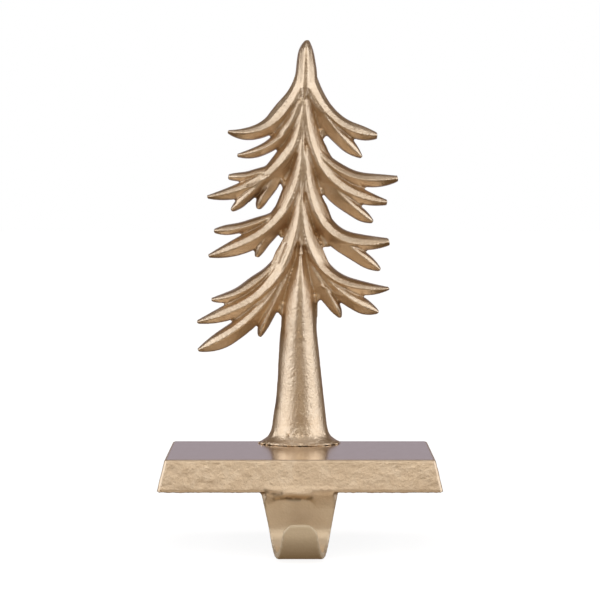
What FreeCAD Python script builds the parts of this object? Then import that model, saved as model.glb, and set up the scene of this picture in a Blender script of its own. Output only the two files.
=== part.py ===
import FreeCAD, Part
import Sketcher
import math
import os

# Mantel stocking holder, in millimetres: X to the right, +Y to the rear, +Z up.
# The origin is under the centre of the base block, in the plane of the mantel shelf.
# The base and its J-hook are one casting. The tree is a second, one-sided casting
# with a flat back, fixed to the base by two screws from below.

SIZES = [
    # the base block, at its bottom edge
    ("base_width", 114.0),
    ("base_depth", 82.5),
    ("base_height", 12.5),
    ("base_draft", 3.0),
    ("base_corner_radius", 1.6),
    ("base_top_radius", 0.8),
    # the pad under the base
    ("pad_thickness", 1.0),
    ("pad_inset", 2.0),
    ("pad_corner_radius", 3.0),
    ("pad_hook_gap", 2.5),
    # the J-hook, a strip that narrows along its length
    ("hook_thickness", 2.5),
    ("hook_setback", 1.5),
    ("hook_half_width", 15.1),
    ("hook_taper", 0.18),
    ("hook_drop", 13.0),
    ("hook_inner_radius", 10.0),
    ("hook_tip_rise", 2.4),
    ("hook_tip_radius", 3.2),
    ("hook_root_depth", 3.0),
    ("hook_left_fillet", 2.2),
    ("hook_right_fillet", 0.6),
    # the tree casting
    ("tree_height", 169.9),
    ("tree_spread", 85.4),
    ("tree_relief", 16.5),
    ("tree_setback", 7.0),
    # the two screws that hold the tree
    ("screw_diameter", 4.0),
    ("screw_length", 16.0),
    ("screw_head_diameter", 7.0),
    ("screw_head_height", 2.6),
    ("screw_slot_width", 1.2),
    ("screw_slot_depth", 1.1),
    ("screw_spacing", 12.0),
    ("screw_back_distance", 5.0),
    ("screw_clearance", 0.2),
    ("counterbore_diameter", 9.0),
    ("counterbore_depth", 5.0),
    ("tree_hole_depth", 11.0),
]

# The tree's pattern is drawn at this size, and the sheet's sizes scale it.
PATTERN_HEIGHT = 169.9
PATTERN_SPREAD = 85.4
PATTERN_RELIEF = 16.5

# Half-round stations of the trunk, the low core behind the boughs and the spire:
# height, left edge, right edge, relief, crest.
TRUNK_STATIONS = [
    (0.0, -17.5, 16.6, 16.5, 0.0),
    (2.0, -14.6, 14.0, 14.6, 0.0),
    (8.0, -11.8, 11.4, 12.6, 0.0),
    (22.0, -9.9, 9.8, 11.8, 0.0),
    (45.0, -8.6, 7.4, 11.0, 0.0),
    (62.0, -6.4, 5.8, 10.2, -0.2),
    (72.0, -3.3, 3.1, 8.6, -0.3),
    (79.5, -0.9, 0.7, 4.6, -0.3),
]
CORE_STATIONS = [
    (45.0, -8.6, 7.4, 3.0, 0.0),
    (75.0, -7.6, 8.0, 5.0, 0.0),
    (100.0, -7.4, 8.2, 5.0, 0.4),
    (127.0, -8.0, 9.6, 4.5, 1.8),
    (147.0, -2.0, 5.8, 5.5, 1.8),
    (153.0, -1.0, 5.0, 5.5, 2.0),
]
SPIRE_STATIONS = [
    (145.2, 1.3, 2.3, 4.0, 1.8),
    (149.0, 0.2, 3.8, 7.2, 1.9),
    (153.0, -1.4, 6.6, 9.2, 2.2),
    (157.0, -1.8, 7.2, 9.2, 2.5),
    (161.0, -1.4, 6.6, 8.2, 2.7),
    (165.0, -0.9, 5.9, 6.8, 2.8),
    (168.6, 0.9, 4.6, 4.4, 2.8),
    (169.9, 2.2, 3.9, 2.4, 3.0),
]
ROUND_FACETS = 6

# Boughs, from the top down, each swept along its crest line from its root past its bend to
# its tip: root, bend and tip as (x, z), then the width of the upper flank and of the lower
# flank, each at the root, middle and shoulder, then the crest's relief at the root, middle
# and tip, and the tip's half-width.
BOUGHS = {
    "left_1": (
        (1.3, 156.0), (-5.5, 126.8), (-30.4, 131.5),
        (3.2, 5.6, 2.7), (1.0, 3.3, 3.2), (8.8, 9.6, 4.0), 0.9,
    ),
    "left_1_low": (
        (0.6, 143.3), (-5.1, 123.6), (-26.4, 121.5),
        (1.2, 3.7, 2.2), (0.8, 2.8, 2.6), (5.5, 8.8, 3.8), 0.9,
    ),
    "left_2": (
        (0.8, 144.1), (0.8, 108.7), (-39.1, 104.0),
        (0.8, 5.0, 3.2), (0.6, 4.4, 3.6), (6.5, 9.8, 4.0), 0.9,
    ),
    "left_2_top": (
        (-9.3, 117.9), (-19.4, 111.2), (-30.2, 112.5),
        (1.4, 2.5, 2.2), (1.4, 2.0, 1.8), (5.0, 7.8, 4.4), 1.3,
    ),
    "left_2_low": (
        (-10.1, 115.4), (-20.3, 105.7), (-28.9, 98.3),
        (2.0, 2.6, 2.2), (2.4, 2.8, 2.3), (5.0, 8.0, 3.8), 0.9,
    ),
    "left_2_in": (
        (-8.4, 116.3), (-16.0, 105.3), (-17.5, 98.9),
        (2.0, 2.2, 2.2), (3.6, 3.8, 2.4), (5.0, 6.8, 3.6), 1.0,
    ),
    "left_3": (
        (0.0, 123.9), (3.4, 88.8), (-38.6, 79.1),
        (0.8, 5.2, 4.2), (0.6, 4.6, 3.9), (5.5, 10.0, 4.0), 0.9,
    ),
    "left_3_top": (
        (-9.3, 97.7), (-20.3, 89.7), (-36.3, 89.7),
        (1.4, 2.8, 2.6), (1.4, 2.0, 2.2), (5.0, 7.8, 4.4), 1.0,
    ),
    "left_3_in": (
        (-6.8, 96.4), (-16.0, 87.1), (-18.2, 78.7),
        (2.0, 2.4, 2.0), (3.8, 3.8, 2.5), (5.0, 7.0, 3.6), 1.1,
    ),
    "left_4": (
        (0.0, 101.9), (0.8, 60.1), (-43.5, 51.2),
        (0.8, 6.2, 4.4), (0.6, 3.8, 3.4), (5.5, 10.4, 4.0), 0.9,
    ),
    "left_4_top": (
        (-10.1, 76.6), (-21.1, 61.4), (-37.4, 60.7),
        (2.0, 3.6, 2.3), (1.5, 2.0, 2.3), (6.0, 8.4, 4.2), 0.9,
    ),
    "left_4_low": (
        (-5.5, 75.7), (-14.4, 50.8), (-43.1, 39.3),
        (1.6, 4.4, 3.8), (2.0, 3.9, 4.3), (6.0, 9.6, 4.0), 0.9,
    ),
    "left_4_in": (
        (-2.5, 76.6), (-12.2, 57.1), (-17.1, 45.1),
        (2.2, 2.6, 2.8), (3.0, 3.2, 2.2), (5.5, 8.0, 3.8), 1.0,
    ),
    "right_1": (
        (2.1, 156.0), (10.6, 129.4), (32.5, 129.8),
        (4.6, 4.2, 4.0), (1.0, 1.6, 2.6), (8.8, 9.6, 4.6), 1.5,
    ),
    "right_1_low": (
        (2.5, 152.6), (11.2, 133.6), (26.0, 120.7),
        (1.2, 3.2, 3.0), (1.4, 5.2, 3.6), (8.2, 9.2, 3.8), 0.8,
    ),
    "right_2": (
        (1.7, 144.1), (1.9, 104.0), (36.7, 101.7),
        (1.6, 6.8, 4.4), (0.6, 4.8, 2.9), (6.5, 9.8, 4.2), 1.3,
    ),
    "right_2_top": (
        (5.5, 128.1), (13.9, 107.0), (41.2, 111.8),
        (1.6, 3.6, 3.1), (1.6, 3.0, 3.0), (7.0, 9.2, 4.6), 1.4,
    ),
    "right_2_low": (
        (5.1, 118.8), (21.1, 99.4), (30.7, 93.5),
        (3.0, 2.6, 2.4), (4.4, 5.4, 3.2), (5.0, 7.6, 3.8), 0.9,
    ),
    "right_3": (
        (0.6, 123.9), (2.5, 76.6), (37.6, 85.2),
        (0.8, 5.0, 4.6), (0.6, 4.4, 2.6), (5.5, 10.0, 4.8), 1.7,
    ),
    "right_3_low": (
        (5.1, 97.7), (22.0, 82.1), (33.8, 73.2),
        (2.0, 2.4, 2.4), (4.8, 5.6, 3.6), (5.0, 7.8, 3.8), 0.9,
    ),
    "right_4": (
        (0.4, 101.9), (0.0, 62.2), (37.7, 65.4),
        (0.8, 4.6, 3.4), (0.6, 2.4, 3.2), (5.5, 10.2, 4.2), 0.8,
    ),
    "right_4_low": (
        (1.7, 81.6), (16.9, 60.1), (33.2, 55.4),
        (1.6, 3.2, 3.4), (2.0, 4.2, 3.6), (5.5, 8.8, 3.8), 0.8,
    ),
    "right_4_in": (
        (2.5, 79.1), (13.5, 62.2), (17.1, 53.1),
        (1.2, 2.2, 2.2), (4.0, 5.2, 2.9), (5.0, 7.6, 3.8), 0.8,
    ),
}
MIDDLE = 0.4
SHOULDER = 0.8
BOUGH_STATIONS = (0.0, 0.2, MIDDLE, 0.6, SHOULDER, 1.0)
# The moulded side wall that rings each bough, under its ridge, and the wall's draft.
WALL_HEIGHT = 4.0
WALL_SHARE = 0.62
WALL_DRAFT = 0.5
# The upper flank bulges: this share of its width out from the crest, it keeps this share of its rise.
BULGE_PLACE = 0.55
BULGE_RISE = 0.66
LOFT_DEGREE = 2
# The pattern reaches this far behind the tree's back, which is then ground flat.
GRINDING_STOCK = 0.5
# Each bough is looked for in the finished casting at this share of its way and this relief.
PROBE_SHARE = 0.9
PROBE_RELIEF = 1.0


def make_sheet(doc):
    """Put the driving sizes into the spreadsheet, one aliased cell each."""
    sheet = doc.addObject("Spreadsheet::Sheet", "Sizes")
    for row, (alias, value) in enumerate(SIZES, start=1):
        sheet.set(f"A{row}", alias)
        sheet.set(f"B{row}", str(value))
        sheet.setAlias(f"B{row}", alias)
    doc.recompute()
    return sheet


def size(sheet, alias):
    """Read one driving size."""
    return float(getattr(sheet, alias))


def origin_plane(body, role):
    """Find one of a body's own origin planes."""
    for feature in body.Origin.OriginFeatures:
        if feature.Role == role:
            return feature
    raise RuntimeError(f"{body.Label} has no plane {role}")


def new_body(doc, label):
    """Start a sub-part, placed at the frame's origin."""
    body = doc.addObject("PartDesign::Body", label)
    body.Label = label
    body.Placement = FreeCAD.Placement()
    return body


def new_sketch(body, name, role, offset="0"):
    """Start a sketch on an origin plane, moved along the plane's normal by an expression."""
    sketch = body.newObject("Sketcher::SketchObject", name)
    sketch.AttachmentSupport = (origin_plane(body, role), [""])
    sketch.MapMode = "FlatFace"
    sketch.setExpression("AttachmentOffset.Base.z", offset)
    return sketch


def bind(sketch, kind, arguments, start, formula):
    """Add one dimension to a sketch and drive it from the sheet."""
    index = sketch.addConstraint(Sketcher.Constraint(kind, *arguments, start))
    sketch.setExpression(f"Constraints[{index}]", formula)


def add_outline(sketch, corners):
    """Draw a closed outline whose corners are pairs of formulas."""
    first = sketch.GeometryCount
    count = len(corners)
    guesses = [FreeCAD.Vector(sketch.evalExpression(a), sketch.evalExpression(b), 0) for a, b in corners]
    for index in range(count):
        sketch.addGeometry(Part.LineSegment(guesses[index], guesses[(index + 1) % count]), False)
    for index, (across, up) in enumerate(corners):
        edge = first + index
        following = first + (index + 1) % count
        sketch.addConstraint(Sketcher.Constraint("Coincident", edge, 2, following, 1))
        bind(sketch, "DistanceX", (-1, 1, edge, 1), guesses[index].x, across)
        bind(sketch, "DistanceY", (-1, 1, edge, 1), guesses[index].y, up)


def rectangle(half_width, front, rear):
    """Corners of a rectangle, symmetric across X, from its front to its rear."""
    return [
        (f"-({half_width})", front),
        (half_width, front),
        (half_width, rear),
        (f"-({half_width})", rear),
    ]


def edges_where(shape, test):
    """Names of the edges whose middle and direction pass a test."""
    names = []
    for index, edge in enumerate(shape.Edges, start=1):
        middle = edge.valueAt((edge.FirstParameter + edge.LastParameter) / 2)
        run = edge.Vertexes[-1].Point - edge.Vertexes[0].Point
        if test(middle, run):
            names.append(f"Edge{index}")
    return names


def round_edges(body, name, formula, test):
    """Fillet the chosen edges of the body's last feature."""
    before = body.Tip
    names = edges_where(before.Shape, test)
    if not names:
        raise RuntimeError(f"{name} finds no edge")
    fillet = body.newObject("PartDesign::Fillet", name)
    fillet.Base = (before, names)
    fillet.setExpression("Radius", formula)
    body.Document.recompute()
    return fillet


# The hook's bend is a half-turn in slices, and small outline rounds have points at these turns.
BEND_TURN = 180
BEND_STEP = 30
ROUND_STEPS = (0, 30, 60, 90)

# Formulas that several sub-parts share.
HALF_WIDTH = "Sizes.base_width / 2"
HALF_DEPTH = "Sizes.base_depth / 2"
BASE_TOP = "Sizes.pad_thickness + Sizes.base_height"
STRAP_FRONT = "-Sizes.base_depth / 2 + Sizes.hook_setback"
STRAP_REAR = f"{STRAP_FRONT} + Sizes.hook_thickness"
BEND_FORWARD = f"{STRAP_FRONT} - Sizes.hook_inner_radius"
BEND_HEIGHT = "Sizes.pad_thickness - Sizes.hook_drop"
OUTER_RADIUS = "Sizes.hook_inner_radius + Sizes.hook_thickness"
TREE_BACK = "Sizes.base_depth / 2 - Sizes.base_draft - Sizes.tree_setback"
SCREW_LINE = f"{TREE_BACK} - Sizes.screw_back_distance"
SEAT_HEIGHT = "Sizes.pad_thickness + Sizes.counterbore_depth"
TONGUE_TOP = f"{BEND_HEIGHT} + Sizes.hook_tip_rise"


def hook_half_width(turn):
    """Half-width of the strip after the strap and a number of degrees of its bend."""
    along = f"(Sizes.hook_drop + {math.radians(turn)} * (Sizes.hook_inner_radius + Sizes.hook_thickness / 2))"
    return f"Sizes.hook_half_width - Sizes.hook_taper * {along}"


def make_block(body):
    """The base block, drafted on all four sides so that it leaves its mould."""
    block = body.Document.addObject("PartDesign::AdditiveWedge", "block")
    body.addObject(block)
    # the wedge is drawn with its height along its own Y, and stood up by its placement
    block.AttachmentSupport = (origin_plane(body, "XY_Plane"), [""])
    block.MapMode = "FlatFace"
    upright = FreeCAD.Rotation(FreeCAD.Vector(1, 0, 0), 90)
    block.AttachmentOffset = FreeCAD.Placement(FreeCAD.Vector(), upright)
    block.setExpression("AttachmentOffset.Base.z", "Sizes.pad_thickness")
    limits = {
        "Xmin": f"-({HALF_WIDTH})", "Xmax": HALF_WIDTH,
        "Zmin": f"-({HALF_DEPTH})", "Zmax": HALF_DEPTH,
        "X2min": f"-({HALF_WIDTH}) + Sizes.base_draft", "X2max": f"{HALF_WIDTH} - Sizes.base_draft",
        "Z2min": f"-({HALF_DEPTH}) + Sizes.base_draft", "Z2max": f"{HALF_DEPTH} - Sizes.base_draft",
        "Ymin": "0", "Ymax": "Sizes.base_height",
    }
    for limit, formula in limits.items():
        block.setExpression(limit, formula)
    body.Document.recompute()
    round_edges(body, "block_corners", "Sizes.base_corner_radius",
                lambda middle, run: abs(run.z) > 1)
    top = max(vertex.Z for vertex in body.Tip.Shape.Vertexes)
    round_edges(body, "block_rim", "Sizes.base_top_radius",
                lambda middle, run: abs(middle.z - top) < 1e-6)


def pad_strip(body, name, front_face, corners):
    """Pad one straight run of the hook's strip, from its front face to its rear face."""
    outline = new_sketch(body, name + "_outline", "XZ_Plane", f"-({front_face})")
    add_outline(outline, corners)
    run = body.newObject("PartDesign::Pad", name)
    run.Profile = outline
    run.Reversed = True
    run.setExpression("Length", "Sizes.hook_thickness")
    body.Document.recompute()


def root_round(radius):
    """The hollow round where one side of the strap runs out into the base's underside."""
    points = []
    for turn in ROUND_STEPS:
        across = f"Sizes.hook_half_width + {radius} * {1 - math.sin(math.radians(turn))}"
        up = f"Sizes.pad_thickness - {radius} * {1 - math.cos(math.radians(turn))}"
        points.append((across, up))
    return points


def tip_round():
    """The rounded corner of the tongue's tip."""
    points = []
    tip_half = f"{hook_half_width(BEND_TURN)} - Sizes.hook_taper * Sizes.hook_tip_rise"
    for turn in ROUND_STEPS:
        across = f"{tip_half} - Sizes.hook_tip_radius * {1 - math.sin(math.radians(turn))}"
        up = f"{TONGUE_TOP} - Sizes.hook_tip_radius * {1 - math.cos(math.radians(turn))}"
        points.append((across, up))
    return points


def both_sides(left_line, right_line):
    """Close an outline down its right side and back up its left side."""
    return right_line + [(f"-({across})", up) for across, up in reversed(left_line)]


def make_strap(body):
    """The strap, rooted in the block, with its hollow rounds under the base."""
    root = "Sizes.pad_thickness + Sizes.hook_root_depth"
    sides = []
    for radius in ("Sizes.hook_left_fillet", "Sizes.hook_right_fillet"):
        top = (f"Sizes.hook_half_width + {radius}", root)
        sides.append([top] + root_round(radius) + [(hook_half_width(0), BEND_HEIGHT)])
    pad_strip(body, "strap", STRAP_FRONT, both_sides(*sides))


def make_bend(body):
    """The half-turn under the strap, lofted through slices that narrow along it."""
    slices = []
    for turn in range(0, BEND_TURN + 1, BEND_STEP):
        piece = new_sketch(body, f"bend_slice_{turn}", "XY_Plane", BEND_HEIGHT)
        piece.setExpression("AttachmentOffset.Base.y", BEND_FORWARD)
        piece.AttachmentOffset = FreeCAD.Placement(
            piece.AttachmentOffset.Base, FreeCAD.Rotation(FreeCAD.Vector(1, 0, 0), -turn))
        add_outline(piece, rectangle(hook_half_width(turn), "Sizes.hook_inner_radius", OUTER_RADIUS))
        slices.append(piece)
    body.Document.recompute()
    bend = body.newObject("PartDesign::AdditiveLoft", "bend")
    bend.Profile = slices[0]
    bend.Sections = slices[1:]
    body.Document.recompute()


def make_tongue(body):
    """The upturned tongue with its rounded tip."""
    side = tip_round() + [(hook_half_width(BEND_TURN), BEND_HEIGHT)]
    pad_strip(body, "tongue", f"{BEND_FORWARD} - ({OUTER_RADIUS})", both_sides(side, side))


def make_hook(body):
    """The hook: strap, bend and tongue, narrowing from the base to a rounded tip."""
    make_strap(body)
    make_bend(body)
    make_tongue(body)


def make_counterbores(body):
    """The holes in the base for the two screws, sunk from below."""
    through = new_sketch(body, "screw_holes_outline", "XY_Plane", "Sizes.pad_thickness")
    sunk = new_sketch(body, "counterbores_outline", "XY_Plane", "Sizes.pad_thickness")
    circles = (
        (through, "Sizes.screw_diameter / 2 + Sizes.screw_clearance"),
        (sunk, "Sizes.counterbore_diameter / 2"),
    )
    for sketch, radius in circles:
        for index, sign in enumerate(("-", "")):
            across = f"{sign}Sizes.screw_spacing / 2"
            centre = FreeCAD.Vector(sketch.evalExpression(across), sketch.evalExpression(SCREW_LINE), 0)
            start = sketch.evalExpression(radius)
            sketch.addGeometry(Part.Circle(centre, FreeCAD.Vector(0, 0, 1), start), False)
            bind(sketch, "DistanceX", (-1, 1, index, 3), centre.x, across)
            bind(sketch, "DistanceY", (-1, 1, index, 3), centre.y, SCREW_LINE)
            bind(sketch, "Radius", (index,), start, radius)
    for sketch, name, kind in ((through, "screw_holes", "ThroughAll"), (sunk, "counterbores", "Length")):
        pocket = body.newObject("PartDesign::Pocket", name)
        pocket.Profile = sketch
        pocket.Type = kind
        pocket.Reversed = True
        if kind == "Length":
            pocket.setExpression("Length", "Sizes.counterbore_depth")
        before = pocket.BaseFeature.Shape.Volume
        body.Document.recompute()
        if not pocket.Shape.Volume < before:
            raise RuntimeError(f"{name} cuts nothing")


def make_base(doc):
    """The base casting with its hook."""
    body = new_body(doc, "base")
    make_block(body)
    make_hook(body)
    make_counterbores(body)
    return body


def make_pad(doc):
    """The felt pad, inset from the base's edge and kept behind the hook's strap."""
    body = new_body(doc, "felt_pad")
    outline = new_sketch(body, "pad_outline", "XY_Plane")
    half = f"{HALF_WIDTH} - Sizes.pad_inset"
    front = f"{STRAP_REAR} + Sizes.pad_hook_gap"
    rear = f"{HALF_DEPTH} - Sizes.pad_inset"
    add_outline(outline, rectangle(half, front, rear))
    pad = body.newObject("PartDesign::Pad", "pad")
    pad.Profile = outline
    pad.setExpression("Length", "Sizes.pad_thickness")
    doc.recompute()
    round_edges(body, "pad_corners", "Sizes.pad_corner_radius",
                lambda middle, run: abs(run.x) < 1e-6 and abs(run.y) < 1e-6)
    return body


def half_round(height, left, right, relief, crest, scale):
    """A flat-backed round section across the trunk or the spire."""
    points = []
    for step in range(ROUND_FACETS + 1):
        angle = math.pi * step / ROUND_FACETS
        reach = right - crest if step * 2 < ROUND_FACETS else crest - left
        rise = relief * math.sin(angle) if 0 < step < ROUND_FACETS else -GRINDING_STOCK
        points.append(scale(crest + reach * math.cos(angle), rise, height))
    return Part.makePolygon(points + points[:1])


def make_stem(stations, scale):
    """A tapering flat-backed stem through its stations."""
    sections = [half_round(*station, scale) for station in stations]
    return Part.makeLoft(sections, True, False, False, LOFT_DEGREE)


def blend(share, start, bend, end):
    """A quadratic curve's value at a share of its way."""
    rest = 1 - share
    return rest * rest * start + 2 * rest * share * bend + share * share * end


def flank_width(widths, share):
    """A flank's width at a share of the bough's way, up to its shoulder."""
    root, middle, shoulder = widths
    if share <= MIDDLE:
        return root + (middle - root) * share / MIDDLE
    return middle + (shoulder - middle) * (share - MIDDLE) / (SHOULDER - MIDDLE)


def make_bough(root, bend, tip, upper, lower, crests, tip_half, scale):
    """One ridged bough: a wall all round, a bulging upper flank and a steep lower one."""
    side = math.copysign(1, tip[0] - root[0])
    # the bend relief that makes the curve pass through the middle relief
    bend_relief = 2 * crests[1] - (crests[0] + crests[2]) / 2
    sections = []
    for share in BOUGH_STATIONS:
        x, z = (blend(share, root[axis], bend[axis], tip[axis]) for axis in (0, 1))
        run_x, run_z = (
            (1 - share) * (bend[axis] - root[axis]) + share * (tip[axis] - bend[axis]) for axis in (0, 1)
        )
        length = math.hypot(run_x, run_z)
        up_x, up_z = -side * run_z / length, side * run_x / length
        above, below = (tip_half if share == 1.0 else flank_width(flank, share) for flank in (upper, lower))
        crest = blend(share, crests[0], bend_relief, crests[2])
        wall = min(WALL_HEIGHT, WALL_SHARE * crest)
        lower_side = [(-below, -GRINDING_STOCK), (WALL_DRAFT - below, wall)]
        swell = (BULGE_PLACE * above, wall + BULGE_RISE * (crest - wall))
        upper_side = [swell, (above - WALL_DRAFT, wall), (above, -GRINDING_STOCK)]
        profile = lower_side + [(0, crest)] + upper_side
        points = [scale(x + up_x * offset, relief, z + up_z * offset) for offset, relief in profile]
        sections.append(Part.makePolygon(points + points[:1]))
    return Part.makeLoft(sections, True, False, False, LOFT_DEGREE)


def missing_boughs(casting, scale):
    """Names of the boughs that the joined casting has lost."""
    lost = []
    for name, (root, bend, tip, *_) in BOUGHS.items():
        x, z = (blend(PROBE_SHARE, root[axis], bend[axis], tip[axis]) for axis in (0, 1))
        if not casting.isInside(scale(x, PROBE_RELIEF, z), 1e-3, True):
            lost.append(name)
    return lost


def make_tree(doc, sheet):
    """The tree casting: trunk, spire and boughs in one, with two screw holes in its foot."""
    across = size(sheet, "tree_spread") / PATTERN_SPREAD
    deep = size(sheet, "tree_relief") / PATTERN_RELIEF
    tall = size(sheet, "tree_height") / PATTERN_HEIGHT
    back = float(sheet.evalExpression(TREE_BACK))
    foot = float(sheet.evalExpression(BASE_TOP))

    def scale(x, relief, z):
        return FreeCAD.Vector(x * across, -relief * deep, z * tall)

    trunk = make_stem(TRUNK_STATIONS, scale)
    core = make_stem(CORE_STATIONS, scale)
    spire = make_stem(SPIRE_STATIONS, scale)
    boughs = [make_bough(*bough, scale) for bough in BOUGHS.values()]
    casting = trunk.multiFuse([core, spire] + boughs)
    stock_corner = FreeCAD.Vector(-PATTERN_SPREAD * across, 0, -PATTERN_HEIGHT * tall)
    stock_size = (2 * PATTERN_SPREAD * across, 2 * GRINDING_STOCK * deep, 3 * PATTERN_HEIGHT * tall)
    casting = casting.cut(Part.makeBox(*stock_size, stock_corner)).removeSplitter()
    hole_radius = size(sheet, "screw_diameter") / 2 + size(sheet, "screw_clearance")
    hole_x = size(sheet, "screw_spacing") / 2
    hole_y = -size(sheet, "screw_back_distance")
    for sign in (-1, 1):
        mouth = FreeCAD.Vector(sign * hole_x, hole_y, 0)
        hole = Part.makeCylinder(hole_radius, size(sheet, "tree_hole_depth"), mouth)
        casting = casting.cut(hole)
    if len(casting.Solids) != 1 or missing_boughs(casting, scale):
        raise RuntimeError(f"the tree is not one whole solid: {missing_boughs(casting, scale)}")
    tree = doc.addObject("Part::Feature", "tree")
    tree.Label = "tree"
    tree.Shape = casting.Solids[0]
    tree.Placement = FreeCAD.Placement(FreeCAD.Vector(0, back, foot), FreeCAD.Rotation())
    return tree


def make_screws(doc):
    """Two slotted cheese-head screws, head down in the counterbores, threads left plain."""
    body = new_body(doc, "left_screw")
    profile = new_sketch(body, "screw_profile", "XZ_Plane", f"-({SCREW_LINE})")
    centre = "-Sizes.screw_spacing / 2"
    head = f"{centre} + Sizes.screw_head_diameter / 2"
    shank = f"{centre} + Sizes.screw_diameter / 2"
    bottom = f"{SEAT_HEIGHT} - Sizes.screw_head_height"
    end = f"{SEAT_HEIGHT} + Sizes.screw_length"
    add_outline(profile, [(centre, bottom), (head, bottom), (head, SEAT_HEIGHT),
                          (shank, SEAT_HEIGHT), (shank, end), (centre, end)])
    turned = body.newObject("PartDesign::Revolution", "turned_screw")
    turned.Profile = profile
    turned.ReferenceAxis = (profile, ["Edge6"])
    turned.Angle = 360
    doc.recompute()
    slot_outline = new_sketch(body, "slot_outline", "XY_Plane", bottom)
    half_slot = "Sizes.screw_slot_width / 2"
    left = f"{centre} - Sizes.screw_head_diameter"
    right = f"{centre} + Sizes.screw_head_diameter"
    add_outline(slot_outline, [(left, f"{SCREW_LINE} - {half_slot}"), (right, f"{SCREW_LINE} - {half_slot}"),
                               (right, f"{SCREW_LINE} + {half_slot}"), (left, f"{SCREW_LINE} + {half_slot}")])
    slot = body.newObject("PartDesign::Pocket", "slot")
    slot.Profile = slot_outline
    slot.Reversed = True
    slot.setExpression("Length", "Sizes.screw_slot_depth")
    doc.recompute()
    if not slot.Shape.Volume < turned.Shape.Volume:
        raise RuntimeError("the slot cuts nothing")
    other = doc.addObject("Part::Mirroring", "right_screw")
    other.Source = body
    other.Normal = FreeCAD.Vector(1, 0, 0)
    other.Base = FreeCAD.Vector(0, 0, 0)
    pair = doc.addObject("Part::Compound", "tree_screws")
    pair.Label = "tree_screws"
    pair.Links = [body, other]
    pair.Placement = FreeCAD.Placement()
    doc.recompute()
    return pair


def check_document(doc, parts):
    """Stop on any failed object or any sub-part without a valid shape."""
    for item in doc.Objects:
        if "Invalid" in item.State or "Error" in item.State:
            raise RuntimeError(f"{item.Label} failed: {item.State}")
    for part in parts:
        if part.Shape.isNull() or not part.Shape.isValid():
            raise RuntimeError(f"{part.Label} has no valid shape")


def main():
    doc = FreeCAD.newDocument("mantel_stocking_holder")
    sheet = make_sheet(doc)
    parts = [make_base(doc), make_pad(doc), make_tree(doc, sheet), make_screws(doc)]
    doc.recompute()
    check_document(doc, parts)
    os.makedirs("parts", exist_ok=True)
    for part in parts:
        part.Shape.exportStep(f"parts/{part.Label}.step")
        box = part.Shape.BoundBox
        print(f"{part.Label}: {len(part.Shape.Solids)} solids, {part.Shape.Volume:.0f} mm3, "
              f"x {box.XMin:.2f} to {box.XMax:.2f}, y {box.YMin:.2f} to {box.YMax:.2f}, "
              f"z {box.ZMin:.2f} to {box.ZMax:.2f}")


main()
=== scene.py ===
import math

import bmesh
import bpy
import numpy as np
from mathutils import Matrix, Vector, noise


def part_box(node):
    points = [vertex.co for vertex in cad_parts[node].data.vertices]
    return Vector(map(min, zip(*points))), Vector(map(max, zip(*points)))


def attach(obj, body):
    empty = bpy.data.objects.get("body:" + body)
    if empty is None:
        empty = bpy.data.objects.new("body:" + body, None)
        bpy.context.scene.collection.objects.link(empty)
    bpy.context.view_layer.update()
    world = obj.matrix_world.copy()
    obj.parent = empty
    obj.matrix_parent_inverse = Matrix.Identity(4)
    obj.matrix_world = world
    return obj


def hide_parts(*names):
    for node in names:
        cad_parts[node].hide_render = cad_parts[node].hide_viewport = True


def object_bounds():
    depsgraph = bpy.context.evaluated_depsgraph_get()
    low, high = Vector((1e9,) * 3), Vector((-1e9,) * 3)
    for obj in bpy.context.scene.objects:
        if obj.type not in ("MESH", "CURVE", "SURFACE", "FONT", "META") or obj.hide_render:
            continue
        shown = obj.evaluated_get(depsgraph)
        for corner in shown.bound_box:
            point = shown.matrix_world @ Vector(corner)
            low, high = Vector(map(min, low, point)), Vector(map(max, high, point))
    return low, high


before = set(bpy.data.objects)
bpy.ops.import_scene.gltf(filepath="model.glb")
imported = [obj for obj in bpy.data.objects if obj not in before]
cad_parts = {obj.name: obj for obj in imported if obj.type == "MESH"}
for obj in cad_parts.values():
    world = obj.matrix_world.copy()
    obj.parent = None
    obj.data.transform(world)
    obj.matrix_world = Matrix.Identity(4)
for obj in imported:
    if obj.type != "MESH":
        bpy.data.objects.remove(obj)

CAD_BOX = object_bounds()
MM = 0.001

# Places that the scene works out from the frame.
BASE_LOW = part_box("base")[0]
TREE_LOW, TREE_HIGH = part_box("tree")
BASE_TOP = TREE_LOW.z
BASE_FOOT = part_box("felt_pad")[1].z
TREE_BACK = TREE_HIGH.y

# The photograph's camera: a long lens, a little above the base, tilted slightly down.
IMAGE_SIDE_PX = 600
FOCAL_PX = 2722.0
SENSOR_MM = 36.0
CAMERA_Y = -1.118
CAMERA_Z = 0.1275
CAMERA_TILT_DEG = 2.665
CLIP_START = 0.01

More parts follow.
